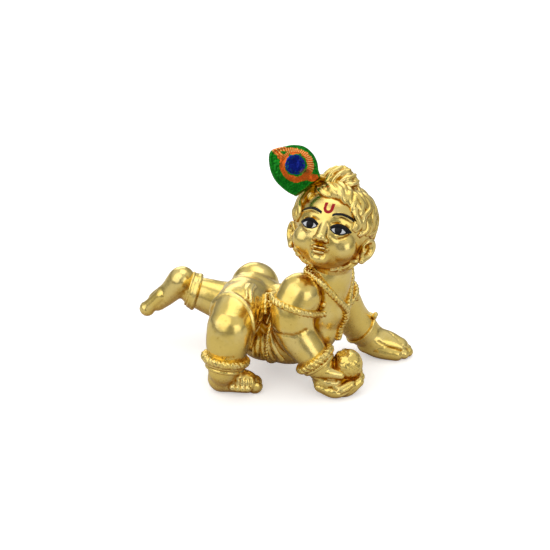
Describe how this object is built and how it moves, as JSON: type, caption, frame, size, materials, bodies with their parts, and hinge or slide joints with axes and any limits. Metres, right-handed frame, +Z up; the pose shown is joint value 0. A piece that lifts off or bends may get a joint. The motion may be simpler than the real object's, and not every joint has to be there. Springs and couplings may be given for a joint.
{
  "type": "laddu gopal idol",
  "caption": "Crawling infant deity with top-knot, peacock plume and a round sweet in its right hand, cast solid in gilt brass to stand on its hands, foot and knee.",
  "frame": {"origin": "middle of the footprint, on the ground that the rests stand on", "axes": "+X the way the infant crawls, +Y to its left, +Z up"},
  "size_m": [0.0772, 0.057, 0.0704],
  "materials": {
    "gilt_brass": "polished gold plate with warm brown lacquer in the recesses, and enamel on the plume, eyes, brows and forehead mark"
  },
  "bodies": {
    "root": {"laddu_gopal_idol": "gilt_brass"}
  },
  "joints": []
}
